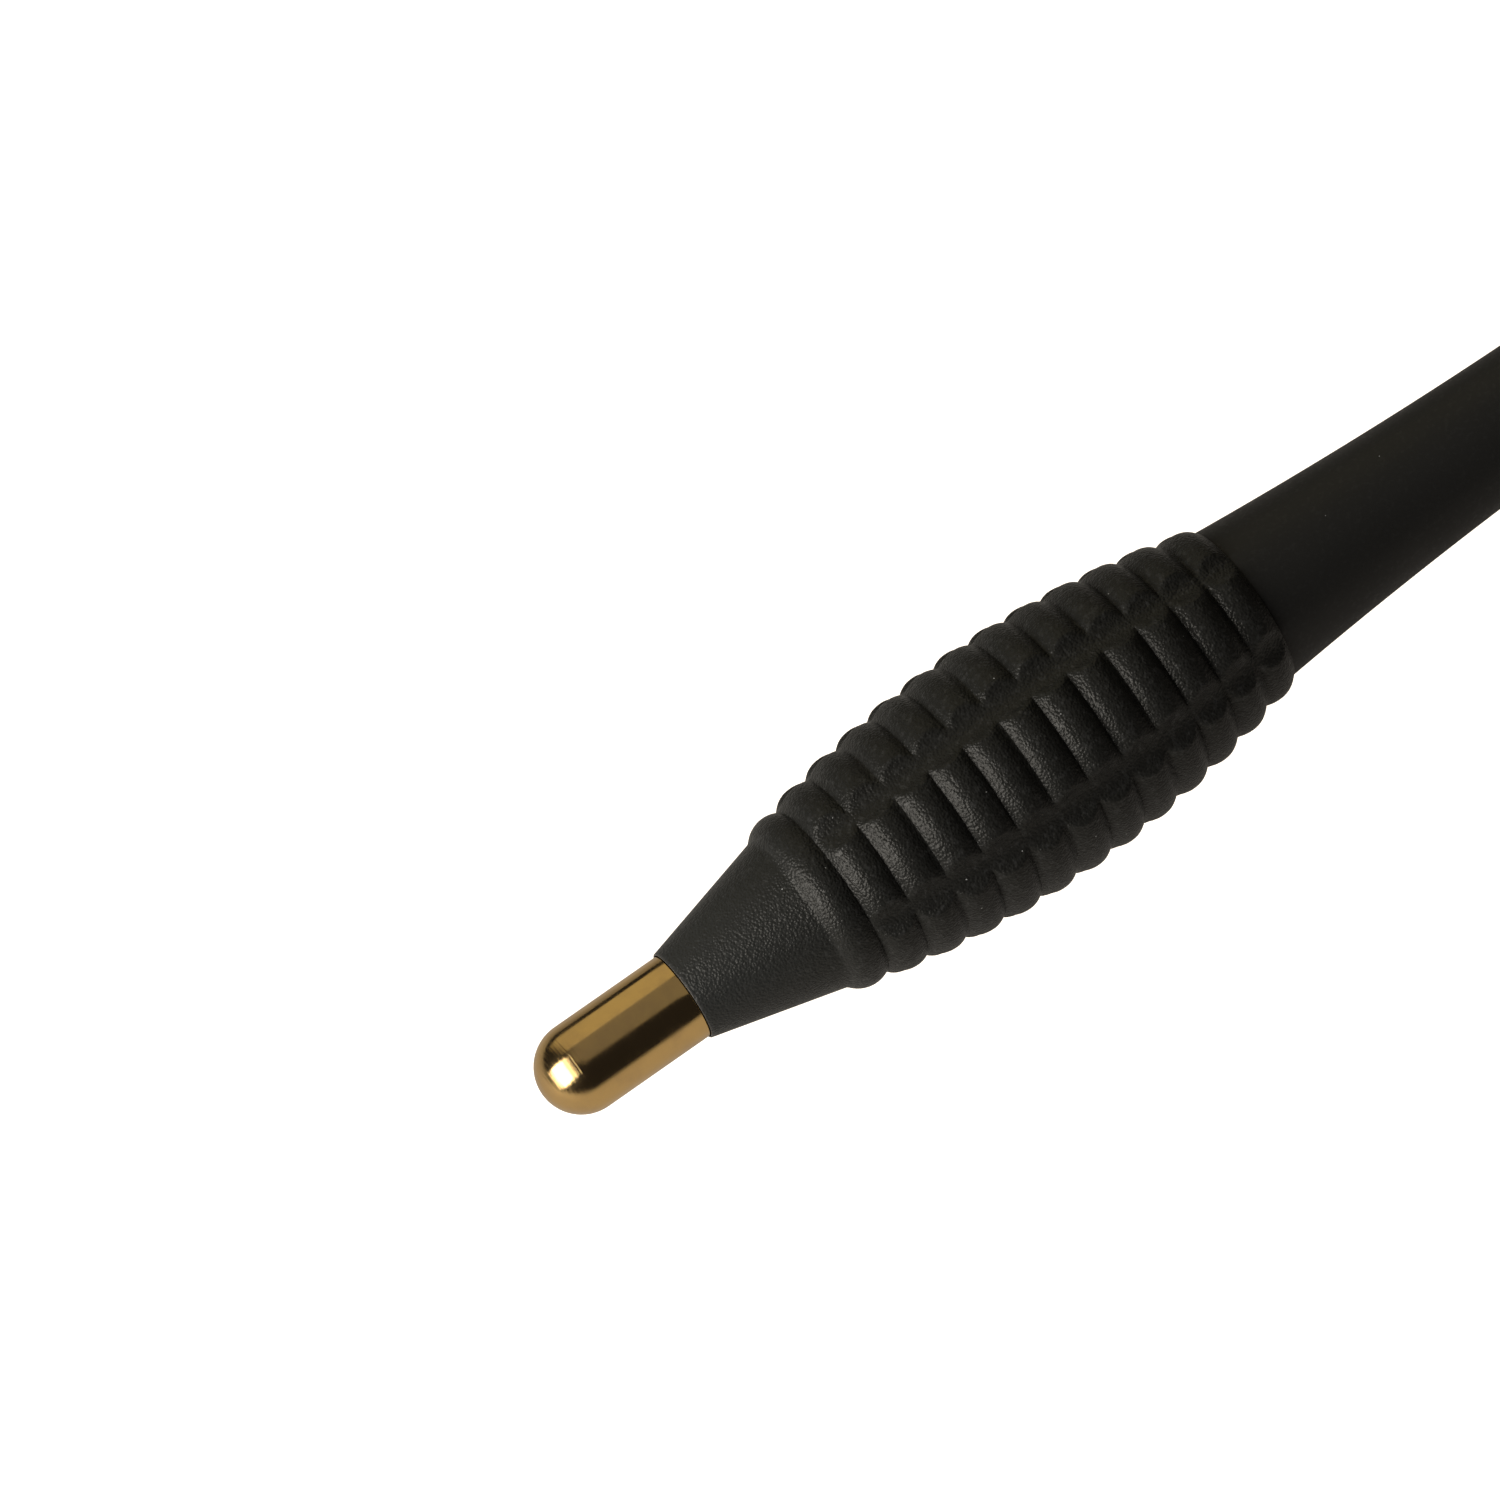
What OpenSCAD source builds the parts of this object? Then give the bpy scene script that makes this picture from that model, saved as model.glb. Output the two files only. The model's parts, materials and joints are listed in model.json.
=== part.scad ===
// Pen-shaped magnetic detacher for security tags. The round-nosed magnetic probe slides into
// the nose against a spring. The handle is a ribbed grip sleeve, a core tube and a barrel.
// Everything is turned about the X axis: the probe points to -X, the tail to +X, and x = 0
// is the front face of the nose.

/* [Probe] */
// Diameter of the round-nosed probe
probe_d = 8; // [7.8:0.05:8]
// Length of the probe's straight wall in front of the nose
probe_straight = 10.4; // [8:0.2:12]
// How far the probe can be pressed in
travel = 3; // [2:0.25:3.25]
// Diameter of the probe's sliding shank
shank_d = 7.5; // [7.3:0.05:7.6]
// Diameter of the three disc magnets
magnet_d = 6; // [5.6:0.1:6]
// Length of each magnet
magnet_l = 8; // [7.5:0.25:8]

/* [Grip] */
// Length of the smooth cone in front of the ribs
cone_l = 12.35; // [11.8:0.05:12.6]
// Diameter of the cone at its front face
mouth_d = 8.44; // [8.4:0.02:8.8]
// Diameter of the cone where the first rib starts
cone_d = 14.8; // [14.6:0.1:15]
// Number of rounded ribs
rib_count = 13; // [12:1:13]
// Distance from one rib to the next
rib_pitch = 3.5; // [3.4:0.05:3.5]
// Radius of the rounding across one rib
rib_round = 2.6; // [2.4:0.1:3]
// Diameter over the highest rib
belly_d = 22.1; // [21:0.1:23]
// Radius of the arc along the rib crests
belly_arc = 84; // [80:1:95]
// Number of lengthwise flutes
flute_count = 6; // [4:2:6]
// Radius of a flute's round cross-section
flute_r = 2.8; // [2.4:0.1:3.4]
// Distance from the axis to a flute's floor at the belly
flute_floor = 10.25; // [10:0.05:10.5]
// Radius of the arc along a flute's floor
flute_arc = 96; // [90:1:110]
// Angle of the first flute from the top, towards -Y
flute_turn = 0; // [-30:1:30]

/* [Barrel] */
// Diameter at the barrel's waist
waist_d = 11; // [10.6:0.1:11.6]
// Distance from the nose to the waist
waist_x = 98; // [96:0.5:100]
// Radius of the long hollow curve of the barrel
waist_arc = 440; // [420:5:480]
// Distance from the nose to the joint between barrel and tail plug
tail_x = 124; // [122:0.5:126]
// Length of the tail plug's visible head
tail_l = 11.6; // [11:0.1:13]
// Diameter of the hole for a tether
tether_d = 3.5; // [3:0.1:3.6]

/* [Spring] */
// Diameter of the spring's wire
wire_d = 0.6; // [0.4:0.05:0.65]
// Mean diameter of the coils
coil_d = 6.6; // [6.3:0.1:6.9]
// Number of turns
turns = 11; // [8:1:12]

/* [Hidden] */

fine_fn = 128;
arc_fn = 256;

// Fits
slide_gap = 0.05;
mouth_gap = 0.07;
loose = 0.03;
stop_gap = 0.05;

// The probe and what it holds, from the dome back
probe_r = probe_d / 2;
shank_r = shank_d / 2;
magnet_r = magnet_d / 2;
cavity_r = magnet_r + loose;
dome_x = -probe_straight;
pole_end = dome_x + 1;
keeper_x = pole_end + 3 * magnet_l;
keeper_l = 1;
plug_x = keeper_x + keeper_l;
shank_end = plug_x + 5.4;
hex_l = 2;
hex_r = 4.55;
stem_r = 2.2;
stem_l = 24;

// The guide bush and the core tube behind it
bumper_l = 1.1;
bush_x = travel + stop_gap;
bush_end = shank_end - bumper_l;
flange_l = 4;
bush_r = 4.45;
core_r = 5.6;
core_bore_r = 4.8;
core_step_x = 47.6;
washer_l = 0.6;
spigot_r = 4.9;
spigot_x = 56;
spigot_end = 67.6;
stem_bore_r = 2.6;

// The grip: rib crests follow one arc, with its highest point half way along the ribs
ribs_end = cone_l + rib_count * rib_pitch;
belly_x = (cone_l + ribs_end) / 2;
belly_r = belly_d / 2;
ring_r = 0.34;

// The barrel and its tail
waist_r = waist_d / 2;
insert_x = 59;
insert_end = 67;
insert_r = 5.6;
barrel_bore_r = 3.9;
spigot_room = 0.4;
stiffener_bore_r = 2.2;
tail_bore_x = 112;
tail_bore_r = 4.4;
tail_spigot_r = tail_bore_r - loose;
tail_round = 4.2;
groove_x = 116;
groove_l = 1.2;
groove_r = 3.45;
tether_x = tail_x + 5.4;
tether_r = tether_d / 2;
eyelet_r = tether_r + 0.6;
eyelet_rim_r = tether_r + 1.3;
spot_y = 4.3;
rim_l = 0.45;

// The spring between the plug's hex and the spring washer
spring_x = shank_end + hex_l + 0.02;
spring_end = core_step_x - washer_l - 0.02;
closed_turns = 1;
wire_sides = 8;
turn_steps = 16;

function crest_r(x) = belly_r - belly_arc + sqrt(pow(belly_arc, 2) - pow(x - belly_x, 2));
function barrel_r(x) = waist_r + waist_arc - sqrt(pow(waist_arc, 2) - pow(x - waist_x, 2));
function rib_x(i) = cone_l + (i + 0.5) * rib_pitch;

// Where the last rib's rounding runs down to the barrel
last_r = crest_r(rib_x(rib_count - 1)) - rib_round;
grip_end = rib_x(rib_count - 1)
         + sqrt(pow(rib_round, 2) - pow(barrel_r(ribs_end) - last_r, 2));

// Turns a 2-D outline, drawn as [radius, distance along the axis], about the X axis
module turned() {
    rotate([0, 90, 0]) rotate_extrude($fn = fine_fn) children();
}

// Outline of a ring from x0 to x1
module ring(x0, x1, inner, outer) {
    translate([inner, x0]) square([outer - inner, x1 - x0]);
}

// Outline from a list of [distance along the axis, radius]
module outline(points) {
    polygon([for (p = points) [p[1], p[0]]]);
}

// The half of a disc that lies in front of x and outside the axis
module dome(x, r) {
    intersection() {
        translate([0, x]) circle(r = r, $fn = fine_fn);
        translate([0, x - r]) square([r, r]);
    }
}

module probe_tip() {
    color("goldenrod") turned() difference() {
        union() {
            dome(dome_x, probe_r);
            ring(dome_x, 0, 0, probe_r);
            ring(0, shank_end, 0, shank_r);
        }
        dome(dome_x, cavity_r);
        ring(dome_x, shank_end, 0, cavity_r);
    }
}

module pole_nose() {
    color("slategray") turned() {
        dome(dome_x, magnet_r);
        ring(dome_x, pole_end, 0, magnet_r);
    }
}

// One disc magnet with a small chamfer at both ends
module magnet(i) {
    x0 = pole_end + i * magnet_l;
    x1 = x0 + magnet_l;
    cut = 0.2;
    color("silver") turned() outline([
        [x0, 0], [x0, magnet_r - cut], [x0 + cut, magnet_r],
        [x1 - cut, magnet_r], [x1, magnet_r - cut], [x1, 0]
    ]);
}

module keeper_disc() {
    color("dimgray") turned() ring(keeper_x, plug_x, 0, magnet_r);
}

// Threaded plug with a hex for a spanner and a stem that guides the spring
module plunger_plug() {
    stem_x = shank_end + hex_l;
    stem_end = stem_x + stem_l;
    cut = 0.5;
    color("darkkhaki") {
        turned() {
            ring(plug_x, shank_end, 0, magnet_r);
            outline([
                [shank_end, 0], [shank_end, stem_r], [stem_end - cut, stem_r],
                [stem_end, stem_r - cut], [stem_end, 0]
            ]);
        }
        translate([shank_end, 0, 0]) rotate([0, 90, 0]) cylinder(r = hex_r, h = hex_l, $fn = 6);
    }
}

module bumper_ring() {
    color("darkred") turned()
        ring(bush_end + 0.02, shank_end, shank_r + 0.01, core_bore_r - 0.3);
}

module guide_bush() {
    inner = shank_r + slide_gap;
    color("peru") turned() {
        ring(bush_x, bush_end, inner, bush_r);
        ring(bush_end - flange_l, bush_end, inner, core_r);
    }
}

// Half of the grip sleeve's section: cone, ribs and the stepped bore
module grip_outline() {
    mouth_r = mouth_d / 2;
    flange_x = bush_end - flange_l;
    difference() {
        union() {
            outline([
                [0, 0], [0, mouth_r - 0.1], [0.1, mouth_r], [cone_l, cone_d / 2],
                [ribs_end, barrel_r(ribs_end)], [ribs_end, 0]
            ]);
            intersection() {
                for (i = [0 : rib_count - 1])
                    translate([crest_r(rib_x(i)) - rib_round, rib_x(i)])
                        circle(r = rib_round, $fn = fine_fn);
                ring(cone_l - 0.5, grip_end, 0, belly_r + 1);
            }
            ring(cone_l, grip_end, 0, barrel_r(ribs_end) - 0.8);
        }
        ring(-1, bush_x, 0, probe_r + mouth_gap);
        ring(bush_x - 0.01, flange_x, 0, bush_r + loose);
        ring(flange_x, grip_end + 1, 0, core_r + loose);
    }
}

// One flute: a round bar bent along an arc whose far side lies across the axis, cut off at the
// valley behind the first rib, which it leaves whole
module flute() {
    intersection() {
        translate([belly_x, 0, flute_floor - flute_arc]) rotate([90, 0, 0])
            rotate_extrude($fn = arc_fn) translate([flute_arc + flute_r, 0])
                circle(r = flute_r, $fn = fine_fn);
        translate([cone_l + rib_pitch, -2 * flute_r, 0])
            cube([rib_count * rib_pitch, 4 * flute_r, belly_d]);
    }
}

// The turned sleeve with its first flutes cut one after another. The sleeve is turned half a
// flute's spacing further, so that no flute runs over the seam of its round surfaces.
module fluted(count) {
    spacing = 360 / flute_count;
    difference() {
        if (count > 1) fluted(count - 1);
        else rotate([flute_turn + spacing / 2, 0, 0]) turned() grip_outline();
        rotate([flute_turn + (count - 1) * spacing, 0, 0]) flute();
    }
}

module grip_sleeve() {
    color("#1d1c19") fluted(flute_count);
}

// Tube that carries the spring, with a threaded spigot for the barrel
module core_tube() {
    color("lightsteelblue") turned() difference() {
        union() {
            ring(bush_end, spigot_x, 0, core_r);
            ring(spigot_x, spigot_end, 0, spigot_r);
        }
        ring(bush_end, core_step_x, 0, core_bore_r);
        ring(core_step_x, spigot_end, 0, stem_bore_r);
    }
}

// Height of the coil's centre line: closed end turns and an open middle
function coil_x(t) =
    let (l = spring_end - spring_x - wire_d)
    let (open_turns = turns - 2 * closed_turns)
    let (open_l = l - 2 * closed_turns * wire_d * 1.05)
    spring_x + wire_d / 2 + wire_d * 1.05 * (min(t, closed_turns) + max(0, t - turns + closed_turns))
    + open_l * min(max(t - closed_turns, 0), open_turns) / open_turns;

module return_spring() {
    steps = turns * turn_steps;
    points = [for (i = [0 : steps], j = [0 : wire_sides - 1])
        let (a = 360 * i / turn_steps, b = 360 * j / wire_sides)
        let (r = coil_d / 2 + wire_d / 2 * cos(b))
        [coil_x(i / turn_steps) + wire_d / 2 * sin(b), r * cos(a), r * sin(a)]];
    sides = [for (i = [0 : steps - 1], j = [0 : wire_sides - 1])
        let (k = (j + 1) % wire_sides, a = i * wire_sides, b = a + wire_sides)
        [a + j, a + k, b + k, b + j]];
    first = [for (j = [0 : wire_sides - 1]) wire_sides - 1 - j];
    last = [for (j = [0 : wire_sides - 1]) steps * wire_sides + j];
    color("gainsboro") polyhedron(points, concat(sides, [first, last]), convexity = 10);
}

module spring_washer() {
    color("gainsboro") turned()
        ring(core_step_x - washer_l, core_step_x, stem_bore_r, core_bore_r - loose);
}

module joint_ring() {
    color("dimgray") turned()
        translate([spigot_r + ring_r + 0.01, spigot_x + ring_r + 0.4])
            circle(r = ring_r, $fn = 48);
}

// Threaded sleeve moulded into the barrel, with two grooves that key it
module barrel_insert() {
    key_l = 1;
    key_cut = 0.3;
    color("gold") turned() difference() {
        ring(insert_x, insert_end, spigot_r + loose, insert_r);
        for (x = [insert_x + 2, insert_end - 3])
            ring(x, x + key_l, insert_r - key_cut, insert_r + 1);
    }
}

// Barrel: one long hollow curve outside, bored for the insert and the tail plug
module barrel() {
    bands = 24;
    step = (tail_x - grip_end) / bands;
    color("#1b1b19") turned() difference() {
        outline(concat(
            [[grip_end, 0]],
            [for (i = [0 : bands]) let (x = grip_end + i * step) [x, barrel_r(x)]],
            [[tail_x, 0]]
        ));
        ring(grip_end - 1, spigot_end + spigot_room, 0, insert_r + loose);
        ring(spigot_end, tail_bore_x, 0, barrel_bore_r);
        ring(tail_bore_x, tail_x + 1, 0, tail_bore_r);
    }
}

// Steel tube pressed into the barrel's long bore, which keeps the thin waist from bending
module stiffener_tube() {
    color("slategray") turned()
        ring(spigot_end + spigot_room, tail_bore_x, stiffener_bore_r, barrel_bore_r - loose);
}

// Tail plug: spigot with a ring groove, and a rounded head with spot faces for the eyelet
module end_plug() {
    head_r = barrel_r(tail_x);
    head_x = tail_x + tail_l - tail_round;
    color("#1b1b19") difference() {
        turned() difference() {
            union() {
                ring(tail_bore_x + 0.2, tail_x, 0, tail_spigot_r);
                ring(tail_x, head_x, 0, head_r);
                ring(tail_x, tail_x + tail_l, 0, head_r - tail_round);
                translate([head_r - tail_round, head_x]) intersection() {
                    circle(r = tail_round, $fn = fine_fn);
                    square([tail_round, tail_round]);
                }
            }
            ring(groove_x, groove_x + groove_l, groove_r, belly_r);
        }
        translate([tether_x, 0, 0]) rotate([90, 0, 0]) {
            cylinder(r = eyelet_r + loose, h = 4 * head_r, center = true, $fn = fine_fn);
            for (side = [0, 1]) mirror([0, 0, side]) translate([0, 0, spot_y])
                cylinder(r = eyelet_rim_r + 0.15, h = head_r, $fn = fine_fn);
        }
    }
}

module tail_ring() {
    tail_ring_r = (tail_bore_r - groove_r) / 2 - 0.01;
    color("dimgray") turned()
        translate([(tail_bore_r + groove_r) / 2, groove_x + groove_l / 2])
            circle(r = tail_ring_r, $fn = 48);
}

// Places a part that is turned about the tether hole's axis
module across() {
    translate([tether_x, 0, 0]) rotate([-90, 0, 0]) children();
}

module tether_eyelet() {
    color("lightgray") across() difference() {
        union() {
            translate([0, 0, -spot_y - rim_l]) cylinder(r = eyelet_rim_r, h = rim_l, $fn = fine_fn);
            translate([0, 0, -spot_y]) cylinder(r = eyelet_r, h = 2 * spot_y + rim_l, $fn = fine_fn);
        }
        translate([0, 0, -2 * spot_y]) cylinder(r = tether_r, h = 4 * spot_y, $fn = fine_fn);
    }
}

module eyelet_washer() {
    color("lightgray") across() translate([0, 0, spot_y]) difference() {
        cylinder(r = eyelet_rim_r, h = rim_l, $fn = fine_fn);
        translate([0, 0, -1]) cylinder(r = eyelet_r + 0.01, h = rim_l + 2, $fn = fine_fn);
    }
}

probe_tip();
pole_nose();
magnet(0);  // magnet_front
magnet(1);  // magnet_middle
magnet(2);  // magnet_rear
keeper_disc();
plunger_plug();
bumper_ring();
guide_bush();
grip_sleeve();
core_tube();
return_spring();
spring_washer();
joint_ring();
barrel_insert();
barrel();
stiffener_tube();
end_plug();
tail_ring();
tether_eyelet();
eyelet_washer();
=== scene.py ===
"""Looks of a pen-shaped magnetic detacher for security tags.

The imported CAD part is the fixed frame. The pieces that show are modelled here round its axis,
which is the X axis with the nose's front face at x = 0, and every piece gets a procedural finish.
All lengths are in metres.
"""

from __future__ import annotations

import json
import logging
import math
from collections.abc import Callable, Iterable, Sequence
from dataclasses import dataclass, field
from enum import Enum

import bmesh
import bpy
from mathutils import Matrix, Vector

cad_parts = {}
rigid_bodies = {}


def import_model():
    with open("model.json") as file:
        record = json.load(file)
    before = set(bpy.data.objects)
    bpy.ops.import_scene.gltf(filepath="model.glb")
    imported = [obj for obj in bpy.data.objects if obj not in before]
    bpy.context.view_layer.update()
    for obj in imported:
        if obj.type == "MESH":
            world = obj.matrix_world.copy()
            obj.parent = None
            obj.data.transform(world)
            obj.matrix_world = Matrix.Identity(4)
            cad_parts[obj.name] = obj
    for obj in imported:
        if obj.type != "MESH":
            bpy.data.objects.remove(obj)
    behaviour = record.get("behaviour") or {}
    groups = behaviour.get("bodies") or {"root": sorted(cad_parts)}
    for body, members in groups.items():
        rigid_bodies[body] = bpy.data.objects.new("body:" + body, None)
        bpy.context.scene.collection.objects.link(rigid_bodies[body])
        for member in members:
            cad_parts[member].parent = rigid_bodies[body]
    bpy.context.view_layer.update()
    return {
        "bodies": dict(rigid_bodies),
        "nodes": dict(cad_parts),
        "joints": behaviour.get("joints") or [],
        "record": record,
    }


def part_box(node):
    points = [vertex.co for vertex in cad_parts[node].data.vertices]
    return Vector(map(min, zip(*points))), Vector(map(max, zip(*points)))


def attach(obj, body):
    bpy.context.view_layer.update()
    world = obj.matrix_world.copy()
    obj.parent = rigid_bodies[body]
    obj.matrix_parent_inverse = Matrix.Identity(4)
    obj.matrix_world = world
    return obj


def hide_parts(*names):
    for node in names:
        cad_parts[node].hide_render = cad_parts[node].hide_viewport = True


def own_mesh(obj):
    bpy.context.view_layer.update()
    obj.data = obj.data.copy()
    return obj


LOG = logging.getLogger("detacher")
MM = 0.001
Point = tuple[float, float]
Colour = tuple[float, float, float]


class Body(Enum):
    """The two bodies of the tool, by their names in the frame."""

    HANDLE = "handle"
    PLUNGER = "plunger"


# ---------------------------------------------------------------- modelling helpers


def deselect() -> None:
    """Leaves edit mode and deselects every object."""
    if bpy.context.object and bpy.context.object.mode != "OBJECT":
        bpy.ops.object.mode_set(mode="OBJECT")
    bpy.ops.object.select_all(action="DESELECT")


def activate(piece: bpy.types.Object) -> None:
    """Selects one piece and makes it the active one.

    Args:
        piece: The object that the next operators act on.
    """
    deselect()
    piece.select_set(True)
    bpy.context.view_layer.objects.active = piece


def edit(piece: bpy.types.Object) -> None:
    """Opens a piece in edit mode with everything selected.

    Args:
        piece: The mesh object to shape.
    """
    activate(piece)
    bpy.ops.object.mode_set(mode="EDIT")
    bpy.ops.mesh.select_all(action="SELECT")


def settle(piece: bpy.types.Object, smooth_deg: float = 32.0) -> None:
    """Puts a finished piece's place into its mesh and shades it.

    Args:
        piece: The mesh object.
        smooth_deg: Edges that turn less than this are shaded smooth.
    """
    activate(piece)
    bpy.ops.object.transform_apply(location=True, rotation=True, scale=True)
    bpy.ops.object.shade_smooth_by_angle(angle=math.radians(smooth_deg))
    deselect()


def arc(
    centre: Point, radius: float, start_deg: float, end_deg: float, steps: int
) -> list[Point]:
    """Points along a round stretch of an outline.

    Args:
        centre: Distance along the axis and distance from it of the arc's centre.
        radius: The arc's radius.
        start_deg: Where the arc starts; 0 points along +X and 90 away from the axis.
        end_deg: Where the arc ends.
        steps: How many straight steps stand for the arc.

    Returns:
        The points, both ends included.
    """
    turn = (end_deg - start_deg) / steps
    angles = [math.radians(start_deg + i * turn) for i in range(steps + 1)]
    return [
        (centre[0] + radius * math.cos(a), centre[1] + radius * math.sin(a))
        for a in angles
    ]


def turned(name: str, outline: Sequence[Point], steps: int) -> bpy.types.Object:
    """Turns an outline about the X axis, as on a lathe.

    A plane is merged to one vertex, the outline is drawn by extruding it from point to point,
    and the line is spun. An outline that starts and ends at one point makes a ring.

    Args:
        name: Name of the new piece.
        outline: Distance along the axis and radius of each point, in order.
        steps: How many faces go round the axis.

    Returns:
        The new piece.
    """
    deselect()
    bpy.ops.mesh.primitive_plane_add(size=MM, location=(0.0, 0.0, 0.0))
    piece = bpy.context.object
    piece.name = name
    edit(piece)
    bpy.ops.mesh.merge(type="CENTER")
    x, r = outline[0]
    bpy.ops.transform.translate(value=(x, 0.0, r))
    for there in outline[1:]:
        step = (there[0] - x, 0.0, there[1] - r)
        bpy.ops.mesh.extrude_vertices_move(TRANSFORM_OT_translate={"value": step})
        x, r = there
    bpy.ops.mesh.select_all(action="SELECT")
    bpy.ops.mesh.spin(
        steps=steps,
        angle=2.0 * math.pi,
        center=(0.0, 0.0, 0.0),
        axis=(1.0, 0.0, 0.0),
    )
    bpy.ops.mesh.select_all(action="SELECT")
    bpy.ops.mesh.remove_doubles(threshold=0.002 * MM)
    bpy.ops.mesh.normals_make_consistent(inside=False)
    bpy.ops.object.mode_set(mode="OBJECT")
    put_in_order(piece)
    return piece


def put_in_order(piece: bpy.types.Object) -> None:
    """Sorts a mesh's parts by place, because merging leaves them in an order that varies.

    Args:
        piece: The mesh object.
    """
    shape = bmesh.new()
    shape.from_mesh(piece.data)
    places = {vertex: tuple(vertex.co) for vertex in shape.verts}
    for place, vertex in enumerate(sorted(shape.verts, key=places.__getitem__)):
        vertex.index = place
    shape.verts.sort()
    for parts in (shape.edges, shape.faces):
        corners_of = {part: sorted(vertex.index for vertex in part.verts) for part in parts}
        for place, part in enumerate(sorted(parts, key=corners_of.__getitem__)):
            part.index = place
        parts.sort()
    shape.to_mesh(piece.data)
    shape.free()


def moved(piece: bpy.types.Object, place: Callable[[Vector], Vector]) -> None:
    """Moves every vertex of a piece by one rule.

    Args:
        piece: The mesh object.
        place: Gives a vertex's new place from its present one.
    """
    mesh = piece.data
    shape = bmesh.new()
    shape.from_mesh(mesh)
    for vertex in shape.verts:
        vertex.co = place(vertex.co)
    shape.to_mesh(mesh)
    shape.free()
    mesh.update()


def cut_away(piece: bpy.types.Object, cutter: bpy.types.Object) -> None:
    """Cuts one piece out of another and removes the cutter.

    Args:
        piece: The piece that keeps its name.
        cutter: The shape that is taken away.
    """
    modifier = piece.modifiers.new("cut", "BOOLEAN")
    modifier.operation = "DIFFERENCE"
    modifier.solver = "EXACT"
    modifier.object = cutter
    activate(piece)
    bpy.ops.object.modifier_apply(modifier=modifier.name)
    bpy.data.objects.remove(cutter)


def round_edges(
    piece: bpy.types.Object, width: float, segments: int, angle_deg: float
) -> None:
    """Rounds the sharp edges of a piece.

    Args:
        piece: The mesh object.
        width: Width of the rounding.
        segments: Steps across the rounding.
        angle_deg: Only edges that turn more than this are rounded.
    """
    modifier = piece.modifiers.new("round", "BEVEL")
    modifier.width = width
    modifier.segments = segments
    modifier.limit_method = "ANGLE"
    modifier.angle_limit = math.radians(angle_deg)
    activate(piece)
    bpy.ops.object.modifier_apply(modifier=modifier.name)


def lay_across(piece: bpy.types.Object, place: float) -> None:
    """Turns a piece from the tool's axis to the Y axis and moves it along the tool.

    Args:
        piece: A piece turned about the X axis.
        place: Where its new axis crosses the tool's.
    """
    activate(piece)
    piece.rotation_euler = (0.0, 0.0, math.pi / 2.0)
    piece.location = (place, 0.0, 0.0)
    bpy.ops.object.transform_apply(location=True, rotation=True, scale=True)


def smooth_max(a: float, b: float, blend: float) -> float:
    """The larger of two heights, with a soft hollow where they cross.

    Args:
        a: First height.
        b: Second height.
        blend: Difference of height over which the two blend.

    Returns:
        The blended height, never below either.
    """
    near = max(blend - abs(a - b), 0.0) / blend
    return max(a, b) + near * near * blend / 4.0


def smooth_min(a: float, b: float, blend: float) -> float:
    """The smaller of two heights, with a rounded edge where they cross.

    Args:
        a: First height.
        b: Second height.
        blend: Difference of height over which the two blend.

    Returns:
        The blended height, never above either.
    """
    return -smooth_max(-a, -b, blend)


# ---------------------------------------------------------------- shader building blocks


class Shader:
    """A node tree under construction, with short ways to place and wire nodes."""

    def __init__(self, tree: bpy.types.NodeTree) -> None:
        """Starts on an existing tree.

        Args:
            tree: The material's or the group's node tree.
        """
        self.tree = tree

    def add(self, kind: str, **settings: object) -> bpy.types.Node:
        """Places a node.

        Args:
            kind: The node's type, such as ShaderNodeTexNoise.
            **settings: Properties of the node itself.

        Returns:
            The node.
        """
        node = self.tree.nodes.new(kind)
        for key, value in settings.items():
            setattr(node, key, value)
        return node

    def feed(self, socket: bpy.types.NodeSocket, source: object) -> None:
        """Wires an output to a socket, or sets the socket to a value.

        Args:
            socket: The input to fill.
            source: An output socket, a number or a colour.
        """
        if isinstance(source, bpy.types.NodeSocket):
            self.tree.links.new(source, socket)
        else:
            socket.default_value = source

    def math(self, operation: str, a: object, b: object = 0.0) -> bpy.types.NodeSocket:
        """Places a Math node.

        Args:
            operation: Such as MULTIPLY.
            a: First value or output.
            b: Second value or output.

        Returns:
            The result's socket.
        """
        node = self.add("ShaderNodeMath", operation=operation)
        self.feed(node.inputs[0], a)
        self.feed(node.inputs[1], b)
        return node.outputs[0]

    def span(
        self, value: object, low: float, high: float, to_low: float, to_high: float
    ) -> bpy.types.NodeSocket:
        """Maps a span of values to another, softly and within its ends.

        Args:
            value: The output to map.
            low: Start of the span it has.
            high: End of the span it has.
            to_low: Start of the new span.
            to_high: End of the new span.

        Returns:
            The result's socket.
        """
        node = self.add("ShaderNodeMapRange", interpolation_type="SMOOTHSTEP")
        for socket, source in zip(node.inputs, (value, low, high, to_low, to_high)):
            self.feed(socket, source)
        return node.outputs["Result"]

    def blend(self, factor: object, a: object, b: object) -> bpy.types.NodeSocket:
        """Mixes two colours.

        Args:
            factor: 0 gives the first colour, 1 the second.
            a: First colour or output.
            b: Second colour or output.

        Returns:
            The mixed colour's socket.
        """
        node = self.add("ShaderNodeMix", data_type="RGBA")
        self.feed(node.inputs["Factor"], factor)
        self.feed(node.inputs[6], a)
        self.feed(node.inputs[7], b)
        return node.outputs[2]

    def noise(
        self, vector: object, scale: object, detail: float, roughness: float = 0.5
    ) -> bpy.types.NodeSocket:
        """Places a Noise texture.

        Args:
            vector: Where it is read.
            scale: Features per metre.
            detail: Octaves.
            roughness: Weight of the finer octaves.

        Returns:
            The noise value's socket.
        """
        node = self.add("ShaderNodeTexNoise")
        self.feed(node.inputs["Vector"], vector)
        self.feed(node.inputs["Scale"], scale)
        node.inputs["Detail"].default_value = detail
        node.inputs["Roughness"].default_value = roughness
        return node.outputs["Fac"]


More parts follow.
